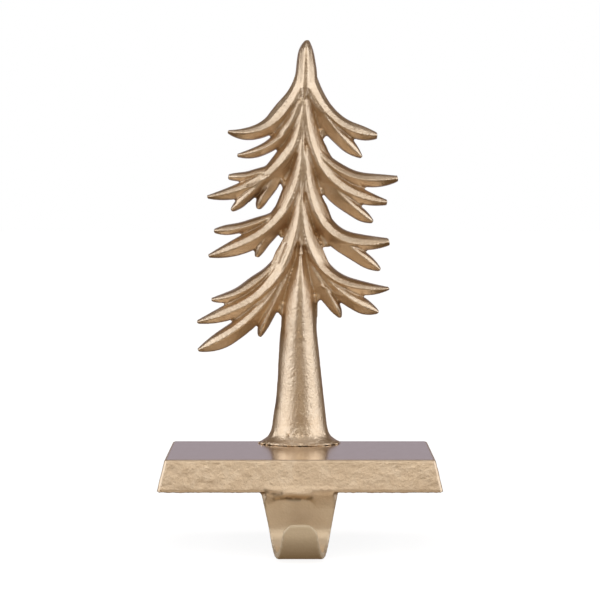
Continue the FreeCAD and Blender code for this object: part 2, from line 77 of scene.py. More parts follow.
# The studio: a floor that stays pale, a dim warm room, and the softboxes and cards as
# (name, place, target, width, height, radiance, colour).
FLOOR_GAP = 1.0 * MM
FLOOR_HALF = 6.0
FLOOR_GREY = (0.3, 0.3, 0.3)
FLOOR_GLOW = (0.9, 1.0)
FLOOR_FADE = (0.2, 0.7)
ROOM_COLOUR = (1.0, 0.64, 0.32)
ROOM_STRENGTH = 0.13
SOFTBOX_WHITE = (1.01, 1.05, 1.12)
SOFTBOX_WARM = (1.0, 0.98, 0.94)
CARD_LILAC = (0.258, 0.272, 0.376)
CARD_WARM = (0.72, 0.64, 0.54)
LIGHTS = [
    ("softbox_left", (-0.8, -0.29, 0.42), (0.0, -0.29, 0.32), 1.3, 1.1, 1.2, SOFTBOX_WHITE),
    ("softbox_right", (0.8, -0.29, 0.42), (0.0, -0.29, 0.32), 1.3, 1.1, 1.2, SOFTBOX_WHITE),
    ("softbox_front", (0.0, -1.05, 0.80), (0.0, 0.0, 0.05), 1.2, 0.9, 1.15, SOFTBOX_WARM),
    ("softbox_top", (0.0, 0.1, 1.1), (0.0, 0.0, 0.0), 1.0, 1.0, 0.5, SOFTBOX_WHITE),
    ("card_behind", (0.0, 1.0, 0.05), (0.0, 0.0, 0.05), 0.7, 0.8, 1.0, CARD_LILAC),
    ("card_front", (0.0, -0.35, -0.11), (0.0, -0.05, -0.02), 0.30, 0.18, 1.0, CARD_WARM),
]

# Finishes: the mottled gold, the painted shade that darkens its hollows and creases, and the hook's paler,
# less metallic khaki lacquer, partly painted light that lifts the hook.
# Noises are (scale, detail, roughness) in object space, and a gloss is a range of roughness.
GOLD_STOPS = [(0.25, (0.73, 0.57, 0.40)), (0.5, (0.82, 0.66, 0.48)), (0.78, (0.90, 0.76, 0.59))]
CLOUD_NOISE = (220.0, 8.0, 0.68)
SPECK_NOISE = (1100.0, 4.0, 0.55)
TREE_GLOSS = (0.26, 0.44)
BASE_GLOSS = (0.32, 0.50)
TREE_BUMP = 0.22 * MM
BASE_BUMP = 0.12 * MM
# Painted shade: the colours that hollows on the tree and creases on the base darken to, and how far.
TREE_SHADE_COLOUR = (0.32, 0.21, 0.12)
BASE_SHADE_COLOUR = (0.12, 0.08, 0.05)
TREE_SHADE_SHARE = 0.8
BASE_SHADE_SHARE = 0.9
GROUND_ROUGHNESS = 0.16
GROUND_GRAIN = 0.06
# The hook's khaki lacquer with less metal is partly its own finish and partly painted light that lifts the
# strap and tongue.
HOOK_KHAKI_LIFT = (0.76, 0.63, 0.44)
HOOK_METALLIC = 0.2
COAT_WEIGHT = 0.15
COAT_ROUGHNESS = 0.25
PLAIN_NOISE = (700.0, 4.0, 0.55)
PLAIN_STOPS = (0.3, 0.7)
PLAIN_DARKER = 0.75
PLAIN_BUMP = 0.1 * MM
ZINC = ((0.6, 0.6, 0.58), 1.0, 0.35)
FELT = ((0.05, 0.04, 0.03), 0.0, 0.95)

# Meshes: voxel sizes, and how many triangles each piece keeps.
TREE_VOXEL = 0.46 * MM
BASE_VOXEL = 0.5 * MM
TREE_TRIANGLES = 150000
BASE_TRIANGLES = 130000

# Stems of the tree, in mm: (height above its foot, left edge, right edge, relief in front of
# its back, crest), with the roofed stems' fall, flat crest and steep shoulder.
STEM_SEGMENTS = 24
ROOF_FALL = 0.45
ROOF_FLAT = 0.2
ROOF_EDGE = 0.8
ROOF_SHOULDER = 0.3
SPIRE_ROOF = 1.0
SKIRT_ROOF = 0.65
BACK_INSET = 0.6
TRUNK_TOP = 72.0
TRUNK = [
    (0.2, -17.8, 17.4, 16.5, 0.0),
    (1.2, -16.2, 15.8, 15.6, 0.0),
    (2.4, -14.4, 14.0, 14.5, 0.0),
    (3.8, -12.9, 12.5, 13.6, 0.0),
    (8.0, -11.8, 11.4, 12.7, 0.0),
    (22.0, -9.9, 9.8, 11.9, 0.0),
    (45.0, -8.6, 7.4, 11.1, -0.4),
    (62.0, -6.4, 5.8, 10.3, -0.4),
    (72.0, -3.3, 3.1, 9.2, -0.4),
    (80.0, -0.9, 0.7, 7.6, -0.4),
]
RIB = [
    (76.0, -0.7, 1.5, 8.4, 0.4),
    (80.0, -1.2, 2.1, 9.5, 0.5),
    (86.0, -1.7, 2.6, 9.8, 0.5),
    (96.0, -1.5, 2.3, 10.0, 0.4),
    (107.0, -1.1, 2.7, 10.0, 0.8),
    (119.6, -0.5, 3.3, 10.0, 1.4),
    (128.0, -0.6, 2.9, 9.9, 1.2),
    (136.5, -0.8, 2.7, 9.8, 1.0),
    (145.0, -0.4, 3.4, 9.7, 1.5),
    (151.0, 0.4, 4.0, 9.6, 2.2),
    (157.0, 1.3, 3.8, 8.8, 2.5),
]
FILL = [
    (72.0, -3.4, 3.0, 5.0, 0.0),
    (84.0, -4.4, 5.0, 8.0, 0.4),
    (100.0, -4.4, 5.6, 8.5, 0.6),
    (120.0, -3.6, 6.0, 8.5, 1.3),
    (138.0, -3.2, 5.0, 8.4, 1.2),
    (150.0, -3.2, 5.6, 8.0, 1.8),
]
SPIRE = [
    (142.0, 0.2, 3.2, 8.0, 1.7),
    (146.0, -1.0, 5.0, 10.0, 1.9),
    (150.0, -3.2, 7.8, 10.6, 2.1),
    (153.0, -2.5, 7.4, 10.6, 2.3),
    (157.0, -1.8, 7.1, 10.6, 2.4),
    (161.0, -1.4, 6.5, 10.6, 2.5),
    (164.0, -1.0, 6.0, 10.5, 2.6),
    (166.5, -0.2, 5.2, 10.0, 2.6),
    (168.3, 1.0, 4.4, 8.4, 2.7),
    (169.3, 1.9, 3.5, 5.6, 2.7),
]
SKIRT = [
    (38.0, -8.6, 7.8, 10.6, -0.3),
    (46.0, -8.2, 7.2, 11.2, -0.3),
    (52.0, -7.9, 6.8, 11.5, -0.2),
    (58.0, -7.4, 6.4, 11.5, 0.0),
    (65.5, -5.9, 5.7, 11.2, 0.1),
    (71.0, -4.5, 4.2, 10.6, 0.1),
    (76.0, -2.7, 3.0, 9.7, 0.2),
    (80.0, -1.3, 1.7, 9.3, 0.2),
    (84.0, -0.8, 1.3, 8.6, 0.3),
]

# Thin webs in the crotches between the limbs and beside the trunk, as stems.
WEBS = [
    [(128.4, 8.8, 9.9, 3.8, 9.3), (130.0, 8.4, 11.2, 4.4, 9.5), (132.5, 7.6, 11.5, 4.8, 9.5)],
    [(104.1, 8.2, 9.2, 3.8, 8.7), (105.5, 8.0, 10.4, 4.4, 9.0), (107.5, 7.6, 10.8, 4.8, 9.0)],
    [(83.0, 8.8, 12.4, 3.8, 10.5), (84.5, 8.2, 12.6, 4.4, 10.4), (87.5, 7.0, 10.2, 4.8, 8.8)],
    [(86.9, -8.4, -7.4, 3.8, -7.9), (88.3, -9.0, -6.6, 4.4, -7.8), (91.0, -9.2, -6.2, 4.8, -7.8)],
    [(54.2, -8.6, -7.4, 3.8, -8.0), (56.0, -9.6, -6.5, 4.4, -8.0), (59.5, -10.6, -6.0, 4.8, -8.4)],
    [(59.6, 6.4, 7.6, 3.8, 7.0), (61.0, 6.2, 8.8, 4.4, 7.4), (63.0, 6.0, 9.0, 4.8, 7.5)],
    [(108.3, -7.6, -6.6, 3.8, -7.1), (109.8, -8.2, -6.2, 4.4, -7.2), (111.5, -8.2, -6.0, 4.8, -7.2)],
]

# The limbs' ridges: root, bend and tip as (x, z), and the outer flank's widths, the crest's
# reliefs and the steep rim's widths, each at the root and where the limb leaves the trunk.
LIMB_REACH = 0.57
LIMB_STEPS = 18
LIMB_FULL = 0.6
LIMB_INNER = (1.0, 1.8)
LIMB_SLOPE = (0.75, 0.9)
LIMB_INNER_SLOPE = (0.12, 1.4)
LIMB_WALL = 4.2
LIMB_START_DEPTH = 1.5
LIMB_END_DEPTH = 3.0
LIMB_START = 1.0 / 6.0
LIMB_END_TAPER = 0.5
LIMB_DROP = 1.6
FLANK_BULGE = 0.42
RIM_SLOPE = 1.5
ROOT_RIM = 0.5
WALL_INSET = 0.8
LIMBS = {
    "left_1": ((2.0, 157.0), (-1.0, 132.4), (-30.4, 131.5), (3.0, 5.2), (9.9, 10.0), (0.9, 0.9)),
    "right_1": ((2.8, 157.0), (4.6, 131.8), (32.5, 129.8), (3.2, 5.2), (9.9, 10.0), (0.9, 0.9)),
    "left_1_low": ((0.6, 147.3), (-4.4, 123.6), (-26.4, 121.5), (0.6, 3.2), (9.8, 9.0)),
    "left_2": ((0.7, 142.0), (0.8, 108.7), (-39.1, 104.0), (0.9, 4.9), (9.9, 10.0), (0.0, 0.8)),
    "right_2": ((2.2, 148.5), (1.2, 104.0), (36.7, 101.7), (2.1, 6.0), (9.9, 10.2), (0.0, 0.9)),
    "left_3": ((0.6, 131.0), (3.4, 88.8), (-38.6, 79.1), (1.0, 5.0), (10.1, 10.3), (0.0, 0.8)),
    "right_3": ((2.3, 125.0), (1.8, 76.6), (37.6, 85.2), (2.0, 5.6), (10.1, 10.4), (0.0, 0.9)),
    "left_4": ((0.1, 107.5), (0.8, 60.1), (-43.5, 51.2), (1.2, 5.7), (10.1, 10.6)),
    "right_4": ((1.0, 105.0), (-0.5, 62.2), (37.7, 65.4), (1.5, 5.0), (10.1, 10.4)),
}

# Tool strokes on the tree: start, bend and end as (x, z), half-width, and height or depth.
STROKE_STEPS = 10
STROKES = [
    ((-13.5, 112.5), (-20.0, 107.0), (-26.4, 102.5), 0.6, 0.5),
    ((-16.0, 113.0), (-19.5, 111.6), (-23.2, 110.3), 0.6, 0.45),
    ((-15.8, 110.9), (-19.0, 109.6), (-22.0, 108.8), 0.6, -0.5),
    ((-14.2, 107.8), (-18.0, 104.6), (-22.4, 100.8), 0.5, -0.6),
    ((-6.2, 84.5), (-8.0, 80.4), (-9.2, 76.8), 0.45, -0.25),
    ((-5.1, 83.4), (-6.6, 79.6), (-8.2, 75.8), 0.4, 0.25),
    ((-1.9, 82.4), (0.6, 84.4), (3.0, 82.0), 0.8, -0.2),
    ((-0.8, 80.6), (0.8, 79.8), (2.4, 81.0), 0.35, 0.4),
    ((26.8, 62.0), (30.5, 60.2), (34.5, 58.4), 0.5, 0.4),
    ((9.2, 66.9), (13.0, 64.5), (17.5, 62.8), 0.5, 0.5),
    ((-4.9, 4.2), (-4.8, 4.2), (-4.7, 4.1), 0.4, -0.45),
    ((-2.6, 4.3), (-2.4, 4.3), (-2.3, 4.2), 0.35, -0.15),
    ((0.2, 4.4), (0.5, 4.4), (0.8, 4.3), 0.35, -0.2),
    ((2.2, 4.3), (2.4, 4.3), (2.6, 4.2), 0.35, -0.2),
    ((-10.3, 19.4), (-10.0, 17.6), (-10.6, 15.6), 0.8, -0.35),
    ((-9.9, 31.0), (-9.7, 29.0), (-9.9, 27.0), 0.9, -0.2),
]

# Smoothing: a pass relaxes by a share and swells back, by a little more where tips are to keep
# their length. Then the passes on the whole tree and on its parts, and the waist above its foot.
RELAX = 0.5
SWELL = -0.52
SWELL_EVEN = -0.5
TREE_PASSES = 4
TRUNK_PASSES = 12
COLUMN_PASSES = 14
SPIRE_PASSES = 3
BROAD_PASSES = 30
CRISPNESS = 0.28
TRUNK_CALM = 0.9
COLUMN_CALM = 0.7
COLUMN_CENTRE = 1.2
COLUMN_HALF = 4.2
COLUMN_TOP = 151.0
WAIST_HEIGHT = 4.8
WAIST_REACH = 2.6
WAIST_SHARE = 0.015

# How far the tree's masks fade, in mm: up the trunk and off its foot, beside, below and above
# the middle column, into the spire, and down to the beaded edge. Then the pits' spread.
TRUNK_FADE = 12.0
FOOT_FADE = (0.6, 3.0)
COLUMN_SIDE_FADE = 2.0
COLUMN_FOOT_FADE = 6.0
COLUMN_TOP_FADE = 4.0
SPIRE_FADE = 3.0
BEADS_TOP = 2.0
BEADS_FADE = 1.4
PIT_SPREAD = (0.3, 0.8)
PITS_OFF_TRUNK = 0.5

# Surface noises, each a (size in mm, octaves, seed, height in mm), how their octaves fall and
# step, how far a seed shifts them, and where the cast skin starts below a ground face.
NOISE_FALL = 0.6
NOISE_STEP = 2.1
SEED_SHIFT = (17.3, 5.1, 9.7)
TREE_WAVES = (4.0, 2, 1, 0.03)
TREE_GRAIN = (0.9, 1, 6, 0.035)
TREE_BEADS = (1.6, 1, 9, 0.5)
TREE_PITS = (1.1, 2, 2, 1.0)
PIT_DEPTH = 0.09 * MM
BASE_WAVES = (9.0, 2, 5, 0.09)
BASE_LUMPS = (2.9, 2, 3, 0.075)
BASE_GRAIN = (1.2, 2, 4, 0.026)
BASE_RAGGED = (2.0, 3, 7, 0.20)
CREASE_BREAKS = (2.2, 2, 8, 1.0)
SKIN_START = (0.3 * MM, 1.2 * MM)
# Painted shade: how deep a hollow is when it is darkened fully, and how much the grooves of tool strokes
# darken.
SHADE_DEPTH = 0.24
STROKE_SHADE = 2.5

# The hook's root: the strap's front face, the cast lip's outline where it is plain and where
# it folds as (distance out, height), and its sections as (x, fold).
BASE_PASSES = 2
LIP_PASSES = 4
BEND_PASSES = 24
HOOK_REACH = 22.5 * MM
STRAP_FRONT = BASE_LOW.y + HOOK_REACH
LIP_HALF = 13.8
LIP_PLAIN = [
    (1.5, 0.6), (1.3, -1.2), (0.8, -3.2), (0.3, -5.4),
    (0.0, -7.0), (-1.2, -7.0), (-1.2, 2.5), (0.9, 2.5),
]
LIP_FOLD = [
    (1.5, 0.6), (1.9, -0.9), (1.6, -1.9), (0.1, -2.9),
    (0.0, -7.0), (-1.2, -7.0), (-1.2, 2.5), (0.9, 2.5),
]
LIP_SECTIONS = [
    (-13.8, 0.0), (-11.0, 0.2), (-9.0, 0.8), (-6.0, 0.9), (-2.0, 1.2),
    (1.0, 1.0), (4.0, 0.9), (6.5, 0.1), (13.8, 0.0),
]
BURR_DEPTH = 0.3 * MM
# Painted shade: how dark the creases on the base's front are painted.
CREASE_SHADE = 8.0

# The base's masks, in mm from the strap's front, the foot or the middle, with how far they fade:
# the hook, the lip, the bend's rounding, the tongue, the creases and the ragged lower edge.
HOOK_START = (-0.2, 0.4)
LIP_MARGIN = 1.5
LIP_SIDE_FADE = 2.5
LIP_BEHIND = 2.0
LIP_DEEP_FADE = 1.0
LIP_HEIGHT = 4.5
LIP_HEIGHT_FADE = 3.0
BEND_START = 1.0
BEND_FADE = 1.0
TONGUE_START = 8.0
TONGUE_FADE = 2.0
CREASE_BEHIND = 1.5
CREASE_FADE = 0.8
CREASE_SPREAD = (-0.6, 0.3)
EDGE_REACH = 0.7
EDGE_START = 0.6
EDGE_FADE = 0.6

# How the cast skin calms down on the tongue, the hook and level faces, where its lumps grow
# towards the ends, where the top counts as ground, and where the hook's paler lacquer, partly painted
# light, spreads.
LEVEL_TILT = (0.6, 0.9)
SIDE_TILT = (0.4, 0.8)
TONGUE_CALM = 0.8
HOOK_CALM = 0.7
LUMPS_MIDDLE = 0.55
LUMPS_GAIN = 0.45
LUMPS_SPREAD = (15.0, 35.0)
GROUND_TILT = (0.97, 0.995)
GROUND_SPREAD = (BASE_TOP - 0.3 * MM, BASE_TOP - 0.1 * MM)
LACQUER_LIFT_FADE = 6.0
STRAP_LACQUER_LIFT = 0.5

# Creases and dents on the base's front as strokes, from the middle of its foot.
BASE_STROKES = [
    ((-10.5, -3.2), (-8.0, -2.6), (-4.5, -2.7), 0.6, -0.12),
    ((-5.5, -2.7), (-1.0, -3.6), (4.5, -2.6), 0.7, -0.15),
    ((-13.8, 0.4), (-11.0, -1.2), (-7.5, -0.6), 0.7, -0.10),
]


def points_of(mesh):
    """A mesh's vertices as an array of rows."""
    flat = np.zeros(len(mesh.vertices) * 3, np.float64)
    mesh.vertices.foreach_get("co", flat)
    return flat.reshape(-1, 3)


def set_points(mesh, points):
    """Write an array of rows back to a mesh."""
    mesh.vertices.foreach_set("co", points.astype(np.float32).ravel())
    mesh.update()


def normals_of(mesh):
    """A mesh's vertex normals as an array of rows."""
    flat = np.zeros(len(mesh.vertices) * 3, np.float32)
    mesh.vertex_normals.foreach_get("vector", flat)
    return flat.reshape(-1, 3).astype(np.float64)


def edges_of(mesh):
    """A mesh's edges as an array of vertex pairs."""
    flat = np.zeros(len(mesh.edges) * 2, np.int32)
    mesh.edges.foreach_get("vertices", flat)
    return flat.reshape(-1, 2)


def neighbour_mean(points, edges):
    """The mean of each vertex's neighbours."""
    count = len(points)
    start, end = edges[:, 0], edges[:, 1]
    valence = np.bincount(start, minlength=count) + np.bincount(end, minlength=count)
    columns = []
    for axis in range(points.shape[1]):
        total = np.bincount(start, points[end, axis], count) + np.bincount(end, points[start, axis], count)
        columns.append(total / np.maximum(valence, 1))
    return np.stack(columns, 1)


def smooth(points, edges, passes, swell=SWELL):
    """Smooth a form: each pass relaxes it and then swells it back, so that tips keep their length."""
    for _ in range(passes):
        for factor in (RELAX, swell):
            points = points + factor * (neighbour_mean(points, edges) - points)
    return points


def noise_field(points, size, octaves, seed, height):
    """Fractal noise at each point, of a feature size in mm and about as high as height either way."""
    shift = Vector([seed * step for step in SEED_SHIFT])
    scale = size * MM
    values = [noise.fractal(Vector(point) / scale + shift, NOISE_FALL, NOISE_STEP, octaves)
              for point in points]
    return np.array(values) * height


def band(values, low, high):
    """A smooth step from 0 at low to 1 at high."""
    share = np.clip((values - low) / (high - low), 0.0, 1.0)
    return share * share * (3.0 - 2.0 * share)


def within(values, limit, fade):
    """1 where values lie below a limit, falling smoothly to 0 over the last stretch before it."""
    return band(limit - values, 0.0, fade)


def loft_mesh(sections):
    """A closed mesh through rings of points, capped at both ends."""
    count = len(sections[0])
    vertices = [point for ring in sections for point in ring]
    faces = []
    for ring in range(len(sections) - 1):
        for index in range(count):
            following = (index + 1) % count
            low, high = ring * count, (ring + 1) * count
            faces.append((low + index, low + following, high + following, high + index))
    faces.append(tuple(reversed(range(count))))
    faces.append(tuple(range((len(sections) - 1) * count, len(sections) * count)))
    return vertices, faces


def on_tree(x, relief, z):
    """A point of the tree from its place across, its relief and its height above the foot, in mm."""
    return (x * MM, TREE_BACK - relief * MM, BASE_TOP + z * MM)


def stem_form(stations, roof=0.0):
    """A flat-backed stem, round or partly roofed: height, left edge, right edge, relief and crest."""
    sections = []
    for height, left, right, relief, crest in stations:
        ring = []
        for step in range(STEM_SEGMENTS + 1):
            angle = math.pi * step / STEM_SEGMENTS
            reach = right - crest if angle < math.pi / 2 else crest - left
            across = math.cos(angle)
            slope = ROOF_FALL * max(0.0, abs(across) - ROOF_FLAT) / (1.0 - ROOF_FLAT)
            slope += ROOF_SHOULDER * max(0.0, abs(across) - ROOF_EDGE) / (1.0 - ROOF_EDGE)
            rise = relief * (roof * (1.0 - slope) + (1.0 - roof) * math.sin(angle))
            if step in (0, STEM_SEGMENTS):
                rise = BACK_INSET
            ring.append(on_tree(crest + reach * across, rise, height))
        sections.append(ring)
    return loft_mesh(sections)


def quadratic(share, start, bend, end):
    """A point on a quadratic curve."""
    rest = 1.0 - share
    return tuple(rest * rest * a + 2.0 * rest * share * b + share * share * c
                 for a, b, c in zip(start, bend, end))


def limb_form(root, bend, tip, widths, crests, rims=(0.0, 0.0)):
    """The ridge of a limb from under the apex of the tier above to where it leaves the trunk."""
    side = math.copysign(1.0, tip[0] - root[0])
    sections = []
    for step in range(LIMB_STEPS + 1):
        share = LIMB_REACH * step / LIMB_STEPS
        grown = share / LIMB_REACH
        x, z = quadratic(share, root, bend, tip)
        run_x = (1 - share) * (bend[0] - root[0]) + share * (tip[0] - bend[0])
        run_z = (1 - share) * (bend[1] - root[1]) + share * (tip[1] - bend[1])
        length = math.hypot(run_x, run_z)
        up_x, up_z = -side * run_z / length, side * run_x / length
        full = min(1.0, grown / LIMB_FULL)
        width = widths[0] + (widths[1] - widths[0]) * full
        crest, inner, slope, inner_slope = (
            low + (high - low) * grown
            for low, high in (crests, LIMB_INNER, LIMB_SLOPE, LIMB_INNER_SLOPE))
        # the ridge rises out of the valley at its root and sinks into the limb at its end
        crest -= LIMB_START_DEPTH * max(0.0, 1.0 - grown / LIMB_START) ** 2
        ending = (max(0.0, grown - LIMB_FULL) / (1.0 - LIMB_FULL)) ** 2
        crest -= LIMB_END_DEPTH * ending
        width *= 1.0 - LIMB_END_TAPER * ending
        fall = min(crest - LIMB_WALL, slope * width)
        rim = ROOT_RIM * (1.0 - full)
        steep = rims[0] + (rims[1] - rims[0]) * full
        flank = width - steep
        drop = LIMB_DROP + RIM_SLOPE * steep
        profile = [(-inner, BACK_INSET), (-inner, crest - inner_slope * inner), (0.0, crest),
                   (0.5 * flank, crest - FLANK_BULGE * fall), (flank, crest - fall),
                   (width + rim, crest - fall - drop), (WALL_INSET * width, BACK_INSET)]
        sections.append([on_tree(x + up_x * offset, relief, z + up_z * offset)
                         for offset, relief in profile])
    return loft_mesh(sections)


def remeshed(node, name, voxel, forms=()):
    """A voxel copy of a CAD node's mesh, joined with more closed forms, as a new piece."""
    joined = bmesh.new()
    joined.from_mesh(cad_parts[node].data)
    for vertices, faces in forms:
        made = [joined.verts.new(vertex) for vertex in vertices]
        rings = [joined.faces.new([made[index] for index in face]) for face in faces]
        bmesh.ops.recalc_face_normals(joined, faces=rings)
    mesh = bpy.data.meshes.new(name)
    joined.to_mesh(mesh)
    joined.free()
    piece = bpy.data.objects.new(name, mesh)
    bpy.context.scene.collection.objects.link(piece)
    modifier = piece.modifiers.new("voxels", "REMESH")
    modifier.mode = "VOXEL"
    modifier.voxel_size = voxel
    apply_modifiers(piece)
    return piece


def apply_modifiers(piece):
    """Replace a piece's mesh by what its modifiers make of it, smooth shaded."""
    graph = bpy.context.evaluated_depsgraph_get()
    mesh = bpy.data.meshes.new_from_object(piece.evaluated_get(graph))
    piece.modifiers.clear()
    old = piece.data
    piece.data = mesh
    bpy.data.meshes.remove(old)
    mesh.polygons.foreach_set("use_smooth", [True] * len(mesh.polygons))


def lightened(piece, triangles):
    """Merge the facets that the form needs least, down to a number of triangles."""
    piece.data.calc_loop_triangles()
    share = triangles / len(piece.data.loop_triangles)
    if share < 1.0:
        modifier = piece.modifiers.new("lighter", "DECIMATE")
        modifier.ratio = share
        apply_modifiers(piece)


def stroke_field(across, up, strokes):
    """Relief of tool strokes, each from a start past a bend to an end, with a half-width and a height."""
    field = np.zeros(len(across))
    for start, bend, end, half_width, height in strokes:
        path = [quadratic(step / STROKE_STEPS, start, bend, end) for step in range(STROKE_STEPS + 1)]
        nearest = np.full(len(across), 1e9)
        for (ax, az), (bx, bz) in zip(path, path[1:]):
            run = max((bx - ax) ** 2 + (bz - az) ** 2, 1e-9)
            share = np.clip(((across - ax) * (bx - ax) + (up - az) * (bz - az)) / run, 0.0, 1.0)
            gap = np.hypot(across - ax - share * (bx - ax), up - az - share * (bz - az))
            nearest = np.minimum(nearest, gap)
        field += height * np.exp(-(nearest / half_width) ** 2)
    return field


def smooth_where(points, edges, passes, mask):
    """Smooth only where a mask says so, from 0, not at all, to 1, fully."""
    return points + mask[:, None] * (smooth(points, edges, passes, SWELL_EVEN) - points)


def store(mesh, name, values):
    """Keep a value for each vertex, for the material to read."""
    attribute = mesh.attributes.new(name, "FLOAT", "POINT")
    attribute.data.foreach_set("value", values.astype(np.float32))


def make_tree_piece():
    """The tree casting: the CAD form with flowing ridges, tooled details and a sand-cast skin."""
    forms = [stem_form(stations) for stations in (TRUNK, RIB, FILL)]
    forms += [stem_form(SPIRE, SPIRE_ROOF), stem_form(SKIRT, SKIRT_ROOF)]
    forms += [stem_form(stations) for stations in WEBS]
    forms += [limb_form(*limb) for limb in LIMBS.values()]
    piece = remeshed("tree", "tree_casting", TREE_VOXEL, forms)
    mesh = piece.data
    edges = edges_of(mesh)
    points = points_of(mesh)
    across, up = points[:, 0] / MM, (points[:, 2] - BASE_TOP) / MM
    trunk = within(up, TRUNK_TOP, TRUNK_FADE) * band(up, *FOOT_FADE)
    middle = (within(np.abs(across - COLUMN_CENTRE), COLUMN_HALF, COLUMN_SIDE_FADE)
              * band(up, TRUNK_TOP, TRUNK_TOP + COLUMN_FOOT_FADE)
              * within(up, COLUMN_TOP, COLUMN_TOP_FADE))
    spire = band(up, COLUMN_TOP, COLUMN_TOP + SPIRE_FADE)
    fine = smooth(points, edges, TREE_PASSES)
    fine = smooth_where(fine, edges, TRUNK_PASSES, trunk)
    fine = smooth_where(fine, edges, COLUMN_PASSES, middle)
    fine = smooth_where(fine, edges, SPIRE_PASSES, spire)
    # what the fine form has beyond the broad one is sharpened a little, and marks the hollows that get
    # painted shade
    coarse = smooth(fine, edges, BROAD_PASSES, SWELL_EVEN)
    crisp = CRISPNESS * (1.0 - TRUNK_CALM * trunk) * (1.0 - COLUMN_CALM * middle)
    points = fine + crisp[:, None] * (fine - coarse)
    points = smooth(points, edges, 1)
    waist = np.exp(-((up - WAIST_HEIGHT) / WAIST_REACH) ** 2) * WAIST_SHARE
    points[:, 0] *= 1.0 - waist
    points[:, 1] = TREE_BACK - (TREE_BACK - points[:, 1]) * (1.0 - waist)
    set_points(mesh, points)
    front = band(TREE_BACK - points[:, 1], *SKIN_START)
    normals = normals_of(mesh)
    across, up = points[:, 0] / MM, (points[:, 2] - BASE_TOP) / MM
    strokes = stroke_field(across, up, STROKES)
    pits = band(noise_field(points, *TREE_PITS), *PIT_SPREAD)
    pits *= PITS_OFF_TRUNK + (1.0 - PITS_OFF_TRUNK) * trunk
    beads = noise_field(points, *TREE_BEADS) * within(up, BEADS_TOP, BEADS_FADE)
    waves = noise_field(points, *TREE_WAVES)
    grain = noise_field(points, *TREE_GRAIN)
    height = (strokes + waves + beads + grain) * MM - pits * PIT_DEPTH
    points = points + normals * (height * front)[:, None]
    points[:, 1] = np.minimum(points[:, 1], TREE_BACK)
    points[:, 2] = np.maximum(points[:, 2], BASE_TOP)
    set_points(mesh, points)
    # painted shade: the hollows and the grooves of tool strokes darken the colour
    painted_shade = np.einsum("ij,ij->i", coarse - fine, normals) / MM / SHADE_DEPTH
    store(mesh, "painted_shade", np.clip(painted_shade - STROKE_SHADE * np.minimum(strokes, 0.0), -1.0, 1.0))
    lightened(piece, TREE_TRIANGLES)
    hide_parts("tree")
    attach(piece, "root")
    return piece


def lip_form():
    """The cast lip that runs from the block's front face down into the strap."""
    sections = []
    for across, fold in LIP_SECTIONS:
        ring = []
        for plain, folded in zip(LIP_PLAIN, LIP_FOLD):
            out, up = (a + fold * (b - a) for a, b in zip(plain, folded))
            ring.append((across * MM, STRAP_FRONT - out * MM, BASE_FOOT + up * MM))
        sections.append(ring)
    return loft_mesh(sections)


def make_base_piece():
    """The base casting: lumpy sand-cast sides, a ground top, and the hook run into the front."""
    piece = remeshed("base", "base_casting", BASE_VOXEL, [lip_form()])
    mesh = piece.data
    edges = edges_of(mesh)
    points = smooth(points_of(mesh), edges, BASE_PASSES)
    across, deep, up = (points[:, axis] / MM for axis in (0, 1, 2))
    foot, strap = BASE_FOOT / MM, STRAP_FRONT / MM
    hook = band(foot - up, *HOOK_START)
    lip = (band(LIP_HALF + LIP_MARGIN - np.abs(across), -LIP_MARGIN, LIP_SIDE_FADE)
           * within(deep, strap + LIP_BEHIND, LIP_DEEP_FADE)
           * within(np.abs(up - foot), LIP_HEIGHT, LIP_HEIGHT_FADE))
    points = smooth_where(points, edges, LIP_PASSES, lip)
    rounding = hook * within(deep, strap - BEND_START, BEND_FADE)
    points = smooth_where(points, edges, BEND_PASSES, rounding)
    set_points(mesh, points)
    normals = normals_of(mesh)
    below_rim = band(BASE_TOP - points[:, 2], *SKIN_START)
    sides = 1.0 - band(np.abs(normals[:, 2]), *LEVEL_TILT)
    tongue = within(deep, strap - TONGUE_START, TONGUE_FADE)
    strap_sides = hook * band(np.abs(normals[:, 0]), *SIDE_TILT)
    skin = below_rim * sides * (1.0 - TONGUE_CALM * tongue) * (1.0 - HOOK_CALM * hook) * (1.0 - strap_sides)
    lumps = noise_field(points, *BASE_LUMPS)
    lumps *= LUMPS_MIDDLE + LUMPS_GAIN * band(np.abs(across), *LUMPS_SPREAD)
    height = noise_field(points, *BASE_WAVES) + lumps + noise_field(points, *BASE_GRAIN)
    points = points + normals * (height * MM * skin)[:, None]
    across, deep, up = (points[:, axis] / MM for axis in (0, 1, 2))
    facing = np.clip(-normals[:, 1], 0.0, 1.0) * within(deep, strap + CREASE_BEHIND, CREASE_FADE)
    crease = stroke_field(across, up - foot, BASE_STROKES)
    points[:, 1] -= crease * MM * facing
    foot_edge = (np.exp(-((up - foot) / EDGE_REACH) ** 2)
                 * within(deep, strap - EDGE_START, EDGE_FADE) * (1.0 - lip))
    ragged = noise_field(points, *BASE_RAGGED) * MM - BURR_DEPTH
    points[:, 2] += ragged * foot_edge
    set_points(mesh, points)
    ground = band(normals[:, 2], *GROUND_TILT) * band(points[:, 2], *GROUND_SPREAD)
    store(mesh, "ground", ground)
    # painted shade along the creases on the front, broken up by noise
    uneven = band(noise_field(points, *CREASE_BREAKS), *CREASE_SPREAD)
    store(mesh, "painted_shade", np.clip(-CREASE_SHADE * crease * facing * uneven, 0.0, 1.0))
    # the hook's paler lacquer, partly painted light: half on the strap, full on the tongue, fading out
    # towards the foot
    lacquer_lift = within(up, foot, LACQUER_LIFT_FADE) * (STRAP_LACQUER_LIFT + (1.0 - STRAP_LACQUER_LIFT) * tongue)
    store(mesh, "hook", lacquer_lift)
    lightened(piece, BASE_TRIANGLES)
    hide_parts("base")
    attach(piece, "root")
    return piece


